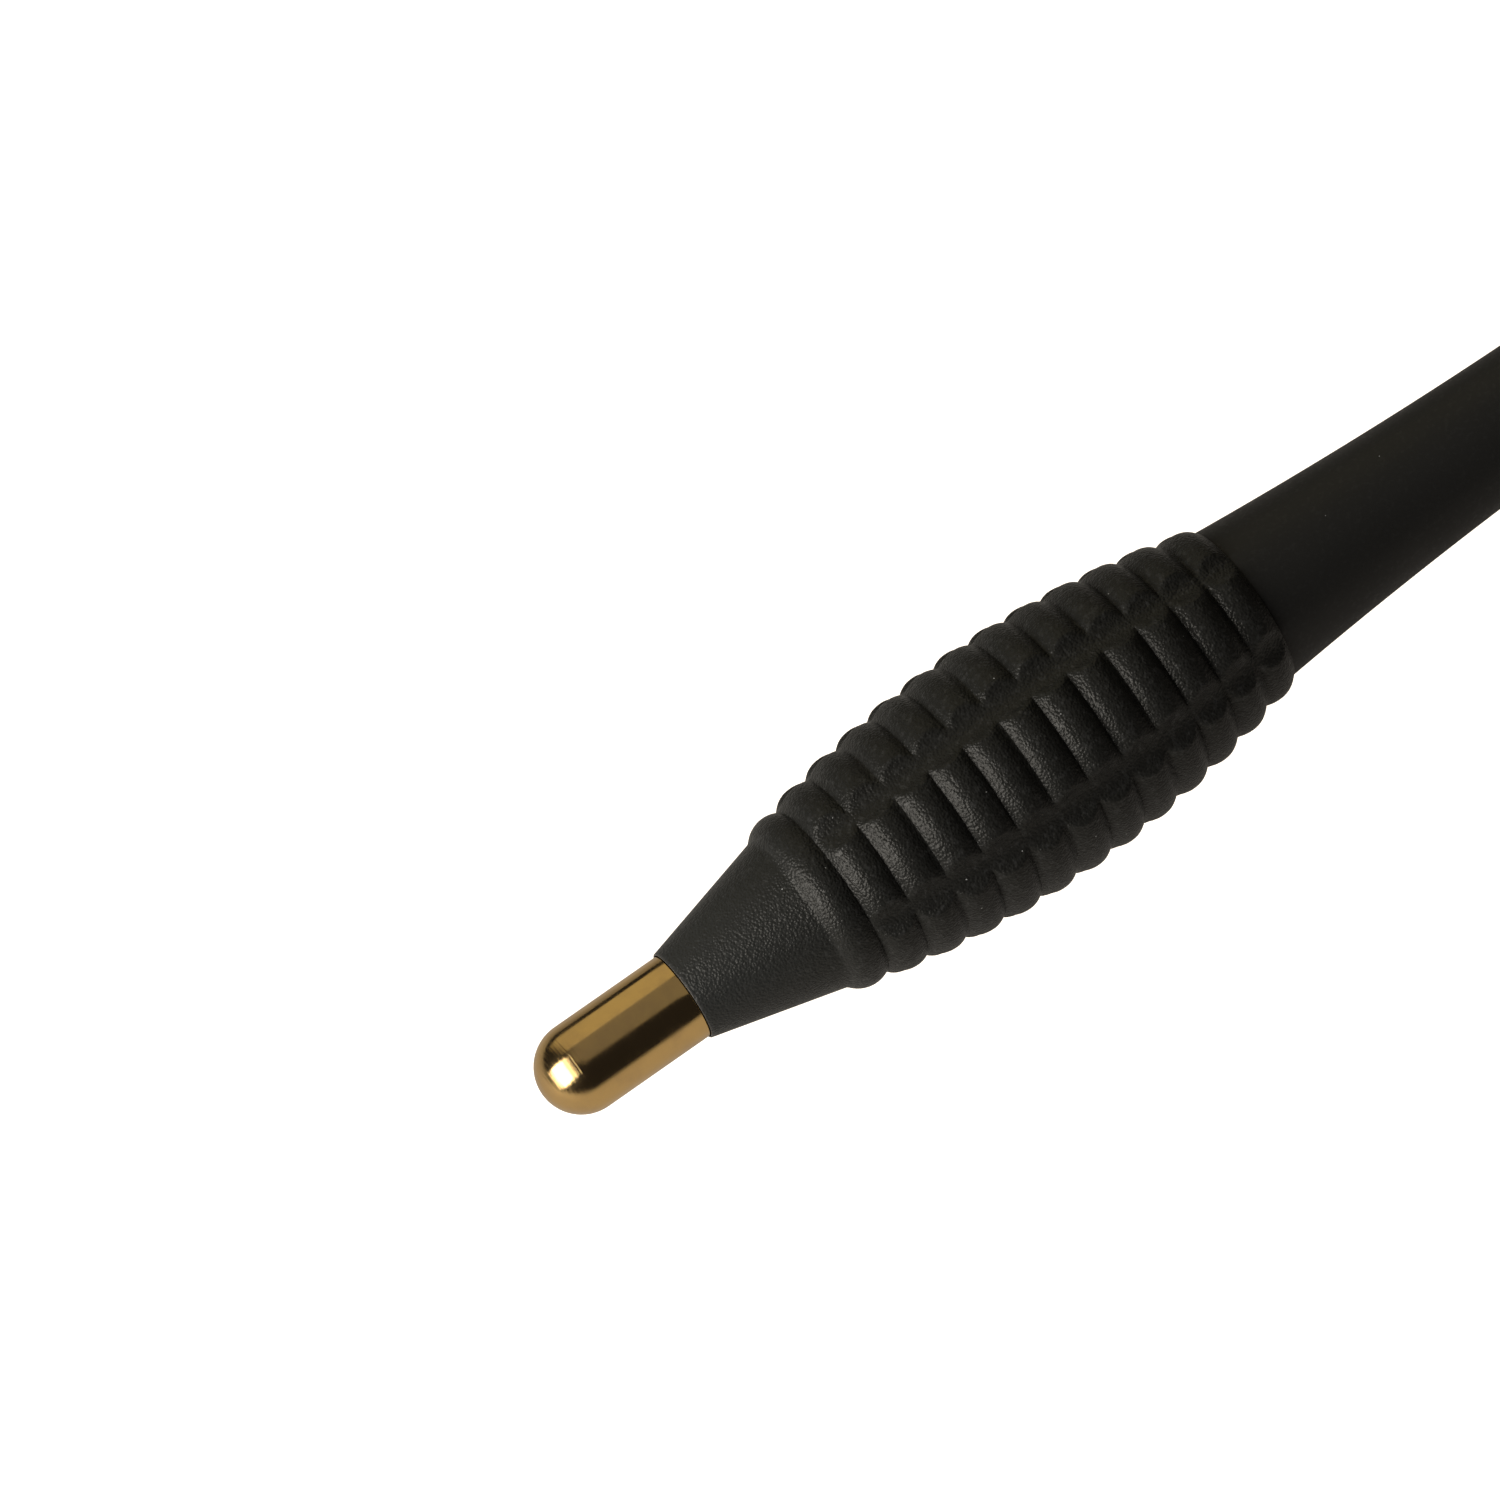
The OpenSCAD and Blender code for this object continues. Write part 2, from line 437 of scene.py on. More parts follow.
class Group:
    """A shader node group with named inputs and outputs, built once and used by many."""

    def __init__(
        self, name: str, inputs: dict[str, float], outputs: dict[str, str]
    ) -> None:
        """Makes the empty group.

        Args:
            name: The group's name.
            inputs: Name and default of each number that goes in.
            outputs: Name and socket type of each thing that comes out.
        """
        self.tree = bpy.data.node_groups.new(name, "ShaderNodeTree")
        self.shader = Shader(self.tree)
        for key, value in inputs.items():
            socket = self.tree.interface.new_socket(
                key, in_out="INPUT", socket_type="NodeSocketFloat"
            )
            socket.default_value = value
        for key, kind in outputs.items():
            self.tree.interface.new_socket(key, in_out="OUTPUT", socket_type=kind)
        self.entry = self.tree.nodes.new("NodeGroupInput")
        self.exit = self.tree.nodes.new("NodeGroupOutput")

    def take(self, name: str) -> bpy.types.NodeSocket:
        """The socket of one of the group's inputs."""
        return self.entry.outputs[name]

    def give(self, name: str, source: bpy.types.NodeSocket) -> None:
        """Sends a result to one of the group's outputs."""
        self.tree.links.new(source, self.exit.inputs[name])

    def place(self, shader: Shader, **values: object) -> bpy.types.Node:
        """Places the group in a material.

        Args:
            shader: The material's tree.
            **values: The inputs' values or outputs, by name with underscores for spaces.

        Returns:
            The group's node.
        """
        node = shader.add("ShaderNodeGroup", node_tree=self.tree)
        for key, value in values.items():
            shader.feed(node.inputs[key.replace("_", " ")], value)
        return node


class Effects:
    """The effects that several finishes share."""

    def __init__(self) -> None:
        """Builds every group once."""
        self.grain = self.make_grain()
        self.rings = self.make_rings()
        self.smudge = self.make_smudge()
        self.dust = self.make_dust()

    @staticmethod
    def make_grain() -> Group:
        """Fine spark-eroded mould grain: rounded pits and bumps of two sizes.

        Returns:
            The group, with a Height and a Fleck mask.
        """
        group = Group(
            "mould_grain",
            {"Cell": 2600.0, "Soft": 0.5},
            {"Height": "NodeSocketFloat", "Fleck": "NodeSocketFloat"},
        )
        s = group.shader
        place = s.add("ShaderNodeTexCoord").outputs["Object"]
        cells = s.add("ShaderNodeTexVoronoi", feature="SMOOTH_F1")
        s.feed(cells.inputs["Vector"], place)
        s.feed(cells.inputs["Scale"], group.take("Cell"))
        s.feed(cells.inputs["Smoothness"], group.take("Soft"))
        pits = s.math("MULTIPLY", cells.outputs["Distance"], -1.2)
        coarse = s.noise(place, s.math("MULTIPLY", group.take("Cell"), 0.45), 3.0, 0.6)
        fine = s.noise(place, s.math("MULTIPLY", group.take("Cell"), 1.9), 1.0)
        height = s.math("ADD", pits, s.math("MULTIPLY", coarse, 0.5))
        height = s.math("ADD", height, s.math("MULTIPLY", fine, 0.35))
        group.give("Height", height)
        group.give("Fleck", s.span(coarse, 0.5, 0.72, 0.0, 1.0))
        return group

    @staticmethod
    def make_rings() -> Group:
        """Fine turning and polishing lines that run round the X axis.

        Returns:
            The group, with a Height and a Streak mask.
        """
        group = Group(
            "lathe_rings",
            {"Pitch": 9000.0, "Waver": 60.0},
            {"Height": "NodeSocketFloat", "Streak": "NodeSocketFloat"},
        )
        s = group.shader
        place = s.add("ShaderNodeTexCoord").outputs["Object"]
        split = s.add("ShaderNodeSeparateXYZ")
        s.feed(split.inputs[0], place)
        drift = s.noise(place, group.take("Waver"), 2.0)
        along = s.math("MULTIPLY", split.outputs["X"], group.take("Pitch"))
        lines = s.add("ShaderNodeTexNoise", noise_dimensions="1D")
        s.feed(lines.inputs["W"], s.math("ADD", along, drift))
        lines.inputs["Scale"].default_value = 1.0
        lines.inputs["Detail"].default_value = 4.0
        lines.inputs["Roughness"].default_value = 0.7
        group.give("Height", lines.outputs["Fac"])
        group.give("Streak", s.span(lines.outputs["Fac"], 0.56, 0.7, 0.0, 1.0))
        return group

    @staticmethod
    def make_smudge() -> Group:
        """Broad, soft patches left by handling.

        Returns:
            The group, with a Mask.
        """
        group = Group("handling", {"Size": 140.0}, {"Mask": "NodeSocketFloat"})
        s = group.shader
        place = s.add("ShaderNodeTexCoord").outputs["Object"]
        patch = s.noise(place, group.take("Size"), 5.0, 0.62)
        group.give("Mask", s.span(patch, 0.38, 0.66, 0.0, 1.0))
        return group

    @staticmethod
    def make_dust() -> Group:
        """A few tiny pale specks of dust.

        Returns:
            The group, with a Mask.
        """
        group = Group(
            "dust", {"Spacing": 420.0, "Size": 0.05}, {"Mask": "NodeSocketFloat"}
        )
        s = group.shader
        place = s.add("ShaderNodeTexCoord").outputs["Object"]
        specks = s.add("ShaderNodeTexVoronoi", feature="F1")
        s.feed(specks.inputs["Vector"], place)
        s.feed(specks.inputs["Scale"], group.take("Spacing"))
        here = s.math("LESS_THAN", specks.outputs["Distance"], group.take("Size"))
        group.give("Mask", here)
        return group


@dataclass(frozen=True)
class Coat:
    """What every finish has: a colour, a roughness and how metallic it is."""

    name: str
    colour: Colour
    roughness: float
    metallic: float = 0.0

    def start(self) -> tuple[bpy.types.Material, Shader, bpy.types.Node]:
        """Makes the material with its Principled shader.

        Returns:
            The material, its tree under construction and the Principled node.
        """
        material = bpy.data.materials.new(self.name)
        material.use_nodes = True
        material.diffuse_color = (*self.colour, 1.0)
        shader = Shader(material.node_tree)
        principled = material.node_tree.nodes["Principled BSDF"]
        principled.inputs["Base Color"].default_value = (*self.colour, 1.0)
        principled.inputs["Roughness"].default_value = self.roughness
        principled.inputs["Metallic"].default_value = self.metallic
        return material, shader, principled

    @staticmethod
    def bump(
        shader: Shader,
        principled: bpy.types.Node,
        layers: Iterable[tuple[object, float, object]],
    ) -> None:
        """Stacks bump layers into the shader's normal.

        Args:
            shader: The material's tree.
            principled: The Principled node.
            layers: Height output, real height and strength of each layer.
        """
        normal: bpy.types.NodeSocket | None = None
        for height, distance, strength in layers:
            node = shader.add("ShaderNodeBump")
            shader.feed(node.inputs["Strength"], strength)
            node.inputs["Distance"].default_value = distance
            shader.feed(node.inputs["Height"], height)
            if normal is not None:
                shader.feed(node.inputs["Normal"], normal)
            normal = node.outputs["Normal"]
        if normal is not None:
            shader.feed(principled.inputs["Normal"], normal)


@dataclass(frozen=True)
class GrainedPlastic(Coat):
    """Black moulded plastic with a fine grain, such as the cone and the ribs."""

    cell: float = 2300.0
    grain_height: float = 0.055 * MM
    grain_strength: float = 1.0
    shine: Colour = (0.036, 0.035, 0.032)
    dust: float = 0.03
    gloss: float = 0.22
    tint: Colour = (1.0, 0.94, 0.84)
    # lip: width of a painted highlight band along the nose's lip; 0 leaves out the band and the
    # paler nose
    lip: float = 0.0
    nose_pale_to: float = 19.0 * MM
    nose_pale_colour: Colour = (0.034, 0.034, 0.031)
    lip_highlight_colour: Colour = (0.06, 0.058, 0.054)
    dust_colour: Colour = (0.35, 0.34, 0.32)

    def dress(self, effects: Effects) -> bpy.types.Material:
        """Builds the finish.

        Args:
            effects: The shared groups.

        Returns:
            The material.
        """
        material, s, principled = self.start()
        grain = effects.grain.place(s, Cell=self.cell)
        fleck = grain.outputs["Fleck"]
        touched = effects.smudge.place(s, Size=120.0).outputs["Mask"]
        dust = effects.dust.place(s, Size=self.dust).outputs["Mask"]
        base = s.blend(fleck, (*self.colour, 1.0), (*self.shine, 1.0))
        if self.lip:
            split = s.add("ShaderNodeSeparateXYZ")
            place = s.add("ShaderNodeTexCoord").outputs["Object"]
            s.feed(split.inputs[0], place)
            ragged = s.math("MULTIPLY", s.noise(place, 900.0, 3.0), self.lip)
            along = s.math("SUBTRACT", split.outputs["X"], ragged)
            # painted highlight: a paler, ragged band along the lip stands in for the rim
            # highlight on its rounded edge
            wear_and_lip_highlight = s.span(along, -self.lip * 0.5, self.lip * 0.5, 0.8, 0.0)
            # the colour turns paler towards the front of the nose and fades out over the first
            # part of the cone
            nose_pale = s.span(split.outputs["X"], 0.0, self.nose_pale_to, 0.75, 0.0)
            base = s.blend(nose_pale, base, (*self.nose_pale_colour, 1.0))
            base = s.blend(wear_and_lip_highlight, base, (*self.lip_highlight_colour, 1.0))
        base = s.blend(dust, base, (*self.dust_colour, 1.0))
        s.feed(principled.inputs["Base Color"], base)
        rough = s.math("ADD", s.math("MULTIPLY", touched, -0.05), self.roughness)
        rough = s.math("ADD", rough, s.math("MULTIPLY", fleck, -0.1))
        s.feed(principled.inputs["Roughness"], rough)
        principled.inputs["Specular IOR Level"].default_value = self.gloss
        principled.inputs["Specular Tint"].default_value = (*self.tint, 1.0)
        self.bump(
            s,
            principled,
            [(grain.outputs["Height"], self.grain_height, self.grain_strength)],
        )
        return material


@dataclass(frozen=True)
class PlatedGold(Coat):
    """Polished plating over turned metal, with faint lathe rings and handling marks."""

    metallic: float = 1.0
    pitch: float = 6000.0
    wear_and_lip_highlight: Colour = (0.62, 0.40, 0.20)
    coat: float = 0.25
    turned_to: float = -10.8 * MM

    def dress(self, effects: Effects) -> bpy.types.Material:
        """Builds the finish.

        Args:
            effects: The shared groups.

        Returns:
            The material.
        """
        material, s, principled = self.start()
        rings = effects.rings.place(s, Pitch=self.pitch)
        touched = effects.smudge.place(s, Size=260.0).outputs["Mask"]
        base = s.blend(
            s.math("MULTIPLY", touched, 0.35), (*self.colour, 1.0), (*self.wear_and_lip_highlight, 1.0)
        )
        s.feed(principled.inputs["Base Color"], base)
        rough = s.math("ADD", s.math("MULTIPLY", touched, 0.07), self.roughness)
        rough = s.math("ADD", rough, s.math("MULTIPLY", rings.outputs["Streak"], 0.05))
        s.feed(principled.inputs["Roughness"], rough)
        principled.inputs["Coat Weight"].default_value = self.coat
        principled.inputs["Coat Roughness"].default_value = 0.2
        split = s.add("ShaderNodeSeparateXYZ")
        s.feed(split.inputs[0], s.add("ShaderNodeTexCoord").outputs["Object"])
        marks = s.span(split.outputs["X"], self.turned_to, self.turned_to + MM, 1.0, 0.1)
        self.bump(s, principled, [(rings.outputs["Height"], 0.018 * MM, marks)])
        return material


@dataclass(frozen=True)
class TurnedMetal(Coat):
    """Plain turned metal inside the tool."""

    metallic: float = 1.0
    pitch: float = 5000.0
    tone: float = 0.8

    def dress(self, effects: Effects) -> bpy.types.Material:
        """Builds the finish.

        Args:
            effects: The shared groups.

        Returns:
            The material.
        """
        material, s, principled = self.start()
        rings = effects.rings.place(s, Pitch=self.pitch)
        touched = effects.smudge.place(s, Size=300.0).outputs["Mask"]
        dull = tuple(c * self.tone for c in self.colour)
        base = s.blend(
            s.math("MULTIPLY", touched, 0.6), (*self.colour, 1.0), (*dull, 1.0)
        )
        s.feed(principled.inputs["Base Color"], base)
        rough = s.math("ADD", s.math("MULTIPLY", touched, 0.08), self.roughness)
        s.feed(principled.inputs["Roughness"], rough)
        self.bump(s, principled, [(rings.outputs["Height"], 0.006 * MM, 0.5)])
        return material


@dataclass(frozen=True)
class MouldedRubber(Coat):
    """Matte rubber of rings and washers."""

    def dress(self, effects: Effects) -> bpy.types.Material:
        """Builds the finish.

        Args:
            effects: The shared groups.

        Returns:
            The material.
        """
        material, s, principled = self.start()
        grain = effects.grain.place(s, Cell=5200.0)
        pale = tuple(c + 0.02 for c in self.colour)
        base = s.blend(grain.outputs["Fleck"], (*self.colour, 1.0), (*pale, 1.0))
        s.feed(principled.inputs["Base Color"], base)
        rough = s.math(
            "ADD", s.math("MULTIPLY", grain.outputs["Fleck"], -0.1), self.roughness
        )
        s.feed(principled.inputs["Roughness"], rough)
        self.bump(s, principled, [(grain.outputs["Height"], 0.006 * MM, 0.5)])
        return material


# ---------------------------------------------------------------- the tool's visible pieces


@dataclass
class Probe:
    """The round-nosed rod that slides in the nose."""

    radius: float = 4.0 * MM
    straight: float = 10.4 * MM
    shank_radius: float = 3.75 * MM
    bore_radius: float = 3.03 * MM
    shoulder: float = 0.12 * MM
    steps: int = 192

    def outline(self) -> list[Point]:
        """The rod's section, from the dome's pole round to the bore's end."""
        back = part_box("probe_tip")[1].x
        dome = arc((-self.straight, 0.0), self.radius, 180.0, 90.0, 40)
        edge = arc(
            (-self.shoulder, self.radius - self.shoulder), self.shoulder, 90.0, 0.0, 6
        )
        wall = [(-self.straight * k / 8.0, self.radius) for k in range(7, 0, -1)]
        shank = [
            (0.0, self.shank_radius),
            (back - self.shoulder, self.shank_radius),
            (back, self.shank_radius - self.shoulder),
            (back, self.bore_radius),
        ]
        hollow = arc((-self.straight, 0.0), self.bore_radius, 90.0, 180.0, 16)
        return dome + wall + edge + shank + hollow

    def build(self) -> bpy.types.Object:
        """Turns the rod.

        Returns:
            The piece.
        """
        piece = turned("probe_rod", self.outline(), self.steps)
        settle(piece)
        return piece


@dataclass
class Barrel:
    """The smooth barrel behind the grip: one long hollow curve."""

    waist_radius: float = 5.5 * MM
    waist: float = 98.0 * MM
    curve: float = 440.0 * MM
    front_bore: float = 5.63 * MM
    front_bore_end: float = 68.0 * MM
    bore: float = 3.9 * MM
    tail_bore: float = 4.4 * MM
    tail_bore_start: float = 112.0 * MM
    edge: float = 0.15 * MM
    steps: int = 192

    def radius_at(self, x: float) -> float:
        """Outside radius of the barrel at a distance along the axis."""
        return (
            self.waist_radius
            + self.curve
            - math.sqrt(self.curve**2 - (x - self.waist) ** 2)
        )

    def outline(self) -> list[Point]:
        """The barrel's section, all round its wall."""
        low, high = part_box("barrel")
        start, end, bands = low.x, high.x, 48
        step = (end - self.edge - start) / bands
        skin = [(x, self.radius_at(x)) for x in (start + i * step for i in range(bands + 1))]
        tip = (end, self.radius_at(end) - self.edge)
        bore = [
            (end, self.tail_bore),
            (self.tail_bore_start, self.tail_bore),
            (self.tail_bore_start, self.bore),
            (self.front_bore_end, self.bore),
            (self.front_bore_end, self.front_bore),
            (start, self.front_bore),
        ]
        return [*skin, tip, *bore, skin[0]]

    def build(self) -> bpy.types.Object:
        """Turns the barrel.

        Returns:
            The piece.
        """
        piece = turned("barrel_shell", self.outline(), self.steps)
        settle(piece)
        return piece


@dataclass
class Grip:
    """Cone, rounded ribs and lengthwise flutes in one moulding."""

    barrel: Barrel
    mouth_radius: float = 4.22 * MM
    mouth_bore: float = 4.07 * MM
    lip: float = 0.06 * MM
    cone: float = 12.35 * MM
    cone_radius: float = 7.4 * MM
    ribs: int = 13
    pitch: float = 3.5 * MM
    rib_round: float = 2.6 * MM
    belly_radius: float = 11.05 * MM
    belly_arc: float = 84.0 * MM
    valley_blend: float = 0.16 * MM
    flutes: int = 6
    flute_turn_deg: float = 0.0
    flute_round: float = 2.8 * MM
    flute_floor: float = 10.25 * MM
    flute_arc: float = 96.0 * MM
    flute_blend: float = 0.16 * MM
    bush_bore: float = 4.48 * MM
    bush_start: float = 3.05 * MM
    core_bore: float = 5.63 * MM
    core_start: float = 15.9 * MM
    steps: int = 336
    cone_bands: int = 14
    rings_per_rib: int = 15

    @property
    def belly(self) -> float:
        """Where the grip is thickest, along the axis."""
        return self.cone + self.ribs * self.pitch / 2.0

    def crest_at(self, x: float) -> float:
        """Radius of the arc along the rib crests."""
        reach = math.sqrt(self.belly_arc**2 - (x - self.belly) ** 2)
        return self.belly_radius - self.belly_arc + reach

    def rib_at(self, index: int, x: float) -> float:
        """Radius of one rib's rounding, or far inside the axis where it doesn't reach.

        Args:
            index: The rib, counted from the cone.
            x: Distance along the axis.

        Returns:
            The radius.
        """
        middle = self.cone + (index + 0.5) * self.pitch
        across = self.rib_round**2 - (x - middle) ** 2
        if across <= 0.0:
            return -self.belly_radius
        return self.crest_at(middle) - self.rib_round + math.sqrt(across)

    def skin_at(self, x: float) -> float:
        """Outside radius of the moulding before the flutes are cut."""
        if x > self.ribs_end - self.pitch / 2.0:
            plain = self.barrel.radius_at(max(x, self.ribs_end))
        elif x < self.cone + self.pitch / 2.0:
            slope = (self.cone_radius - self.mouth_radius) / self.cone
            plain = self.mouth_radius + slope * min(x, self.cone)
        else:
            plain = 0.0
        near = int((x - self.cone) / self.pitch)
        ribs = [self.rib_at(i, x) for i in (near - 1, near, near + 1) if 0 <= i < self.ribs]
        first, second = sorted([0.0, plain, *ribs])[-1:-3:-1]
        return smooth_max(first, second, self.valley_blend)

    @property
    def ribs_end(self) -> float:
        """Where the last rib's pitch ends."""
        return self.cone + self.ribs * self.pitch

    def outline(self) -> list[Point]:
        """The moulding's section, all round its wall."""
        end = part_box("grip_sleeve")[1].x
        start = self.cone - self.pitch / 3.0
        count = round((end - start) / self.pitch * self.rings_per_rib)
        bands = self.cone_bands
        places = [self.lip + (start - self.lip) * k / bands for k in range(bands)]
        places += [start + (end - start) * k / count for k in range(count + 1)]
        skin = [(x, self.skin_at(x)) for x in places]
        lip = arc(
            (self.lip, self.mouth_radius - self.lip), self.lip, 180.0, 100.0, 4
        )
        bore = [
            (end, self.core_bore),
            (self.core_start, self.core_bore),
            (self.core_start, self.bush_bore),
            (self.bush_start, self.bush_bore),
            (self.bush_start, self.mouth_bore),
            (0.0, self.mouth_bore),
        ]
        return [*lip, *skin, *bore, lip[0]]

    def press_flutes(self, place: Vector) -> Vector:
        """Where a point of the skin goes when the flutes are pressed in.

        Args:
            place: The point on the turned moulding.

        Returns:
            The point, moved towards the axis where a flute runs.
        """
        radius = math.hypot(place.y, place.z)
        first_rib_end = self.cone + self.pitch * 0.8
        if radius < self.core_bore + MM or place.x < first_rib_end:
            return place
        spacing = 2.0 * math.pi / self.flutes
        angle = math.atan2(-place.y, place.z) - math.radians(self.flute_turn_deg)
        off = (angle + spacing / 2.0) % spacing - spacing / 2.0
        sag = self.flute_arc - math.sqrt(
            self.flute_arc**2 - (place.x - self.belly) ** 2
        )
        centre = self.flute_floor - sag + self.flute_round
        across = self.flute_round**2 - (centre * math.sin(off)) ** 2
        if across <= 0.0:
            return place
        floor = centre * math.cos(off) - math.sqrt(across)
        new = smooth_min(radius, floor, self.flute_blend)
        return Vector((place.x, place.y * new / radius, place.z * new / radius))

    def build(self) -> bpy.types.Object:
        """Turns the moulding and presses its flutes.

        Returns:
            The piece.
        """
        piece = turned("grip_moulding", self.outline(), self.steps)
        moved(piece, self.press_flutes)
        settle(piece, 40.0)
        return piece


@dataclass
class TailCap:
    """The pressed-in tail plug with its rounded head and the cross hole for a tether."""

    barrel: Barrel
    spigot_radius: float = 4.37 * MM
    groove_start: float = 116.0 * MM
    groove_end: float = 117.2 * MM
    groove_radius: float = 3.45 * MM
    rounding: float = 4.2 * MM
    hole: float = 129.4 * MM
    hole_radius: float = 2.38 * MM
    spot_radius: float = 3.2 * MM
    spot_depth: float = 4.3 * MM
    edge: float = 0.12 * MM
    steps: int = 192

    def outline(self) -> list[Point]:
        """The plug's section, from its front face to the middle of its end."""
        low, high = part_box("end_plug")
        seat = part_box("barrel")[1].x
        head = self.barrel.radius_at(seat)
        curve = high.x - self.rounding
        spigot = [
            (low.x, 0.0),
            (low.x, self.spigot_radius - self.edge),
            (low.x + self.edge, self.spigot_radius),
            (self.groove_start, self.spigot_radius),
            (self.groove_start, self.groove_radius),
            (self.groove_end, self.groove_radius),
            (self.groove_end, self.spigot_radius),
            (seat, self.spigot_radius),
            (seat, head - self.edge),
        ]
        shoulder = arc((seat + self.edge, head - self.edge), self.edge, 180.0, 90.0, 4)
        bands = 6
        wall = [
            (seat + self.edge + (curve - seat - self.edge) * k / bands, head)
            for k in range(1, bands)
        ]
        end = arc((curve, head - self.rounding), self.rounding, 90.0, 0.0, 24)
        return [*spigot, *shoulder[1:], *wall, *end, (high.x, 0.0)]

    def hole_cutter(self) -> bpy.types.Object:
        """The stepped bar that bores the cross hole and faces its two spots."""
        reach = 2.0 * self.spot_depth
        outline = [
            (-reach, 0.0),
            (-reach, self.spot_radius),
            (-self.spot_depth, self.spot_radius),
            (-self.spot_depth, self.hole_radius),
            (self.spot_depth, self.hole_radius),
            (self.spot_depth, self.spot_radius),
            (reach, self.spot_radius),
            (reach, 0.0),
        ]
        cutter = turned("hole_cutter", outline, 96)
        lay_across(cutter, self.hole)
        return cutter

    def build(self) -> bpy.types.Object:
        """Turns the plug and bores it.

        Returns:
            The piece.
        """
        piece = turned("tail_cap", self.outline(), self.steps)
        cut_away(piece, self.hole_cutter())
        round_edges(piece, self.edge / 2.0, 2, 50.0)
        settle(piece)
        return piece


@dataclass
class Eyelet:
    """The two-part metal eyelet that lines the tether hole."""

    cap: TailCap
    bore_radius: float = 1.75 * MM
    wall: float = 0.6 * MM
    rim_radius: float = 3.05 * MM
    rim: float = 0.45 * MM
    steps: int = 96

    def body(self) -> bpy.types.Object:
        """Turns the tube with its rolled rim.

        Returns:
            The piece.
        """
        low, high = -self.cap.spot_depth - self.rim, self.cap.spot_depth + self.rim
        curl, half = self.rim / 2.0, self.wall / 2.0
        middle = self.bore_radius + half
        outline = [
            *arc((low + curl, self.rim_radius - curl), curl, 90.0, 180.0, 8),
            *arc((low + half, middle), half, 180.0, 270.0, 8),
            *arc((high - half, middle), half, -90.0, 90.0, 16),
            (low + self.rim, self.bore_radius + self.wall),
            (low + self.rim, self.rim_radius - curl),
            (low + curl, self.rim_radius),
        ]
        piece = turned("eyelet_tube", outline, self.steps)
        lay_across(piece, self.cap.hole)
        settle(piece)
        return piece

    def washer(self) -> bpy.types.Object:
        """Turns the loose rim that the tube is rolled over.

        Returns:
            The piece.
        """
        low = self.cap.spot_depth
        curl = self.rim / 2.0
        inner = self.bore_radius + self.wall + 0.01 * MM
        outline = [
            (low, inner),
            (low, self.rim_radius - curl),
            *arc((low + curl, self.rim_radius - curl), curl, 135.0, 0.0, 12),
            (low + self.rim, inner),
            (low, inner),
        ]
        piece = turned("eyelet_rim", outline, self.steps)
        lay_across(piece, self.cap.hole)
        settle(piece)
        return piece


@dataclass
class Spring:
    """The wire spring that presses the rod forward."""

    coil_radius: float = 3.3 * MM
    wire_radius: float = 0.3 * MM
    turns: int = 11
    closed_turns: float = 1.0
    wire_sides: int = 16
    steps: int = 48
    travel: float = 3.0 * MM

    def rise(self, turn: float, start: float, end: float) -> float:
        """Distance along the axis of the wire's middle after some turns.

        Args:
            turn: Turns from the wire's front end.
            start: Where the wire's middle starts.
            end: Where the wire's middle ends.

        Returns:
            The distance.
        """
        tight = 2.0 * self.wire_radius + 0.02 * MM
        front = min(turn, self.closed_turns) * tight
        back = max(turn - self.turns + self.closed_turns, 0.0) * tight
        open_turns = self.turns - 2.0 * self.closed_turns
        pitch = (end - start - 2.0 * self.closed_turns * tight) / open_turns
        middle = min(max(turn - self.closed_turns, 0.0), open_turns) * pitch
        return start + front + middle + back

    def build(self) -> bpy.types.Object:
        """Winds the wire with a screw and closes its end turns.

        Returns:
            The piece.
        """
        deselect()
        bpy.ops.mesh.primitive_circle_add(
            vertices=self.wire_sides,
            radius=self.wire_radius,
            location=(0.0, 0.0, self.coil_radius),
            rotation=(math.pi / 2.0, 0.0, 0.0),
        )
        piece = bpy.context.object
        piece.name = "spring_coil"
        bpy.ops.object.transform_apply(location=True, rotation=True, scale=True)
        screw = piece.modifiers.new("wind", "SCREW")
        screw.axis = "X"
        screw.angle = 2.0 * math.pi
        screw.iterations = self.turns
        screw.steps = screw.render_steps = self.steps
        screw.use_merge_vertices = False
        activate(piece)
        bpy.ops.object.modifier_apply(modifier=screw.name)
        self.close_ends(piece)
        settle(piece, 50.0)
        return piece

    def close_ends(self, piece: bpy.types.Object) -> None:
        """Sets the coil's pitch turn by turn and caps the wire's two ends.

        Args:
            piece: The wound wire, with all its turns in one place.
        """
        shape = bmesh.new()
        shape.from_mesh(piece.data)
        shape.verts.ensure_lookup_table()
        low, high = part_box("return_spring")
        start, end = low.x + self.wire_radius, high.x - self.wire_radius
        for index, vertex in enumerate(shape.verts):
            turn = index // self.wire_sides / self.steps
            vertex.co.x += self.rise(turn, start, end)
        shape.faces.new(shape.verts[: self.wire_sides])
        shape.faces.new(shape.verts[-self.wire_sides :])
        bmesh.ops.recalc_face_normals(shape, faces=shape.faces)
        shape.to_mesh(piece.data)
        shape.free()

    def give_way(self, piece: bpy.types.Object) -> None:
        """Gives the coil a mesh of its own.

        Args:
            piece: The finished coil.
        """
        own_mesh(piece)


# ---------------------------------------------------------------- the studio


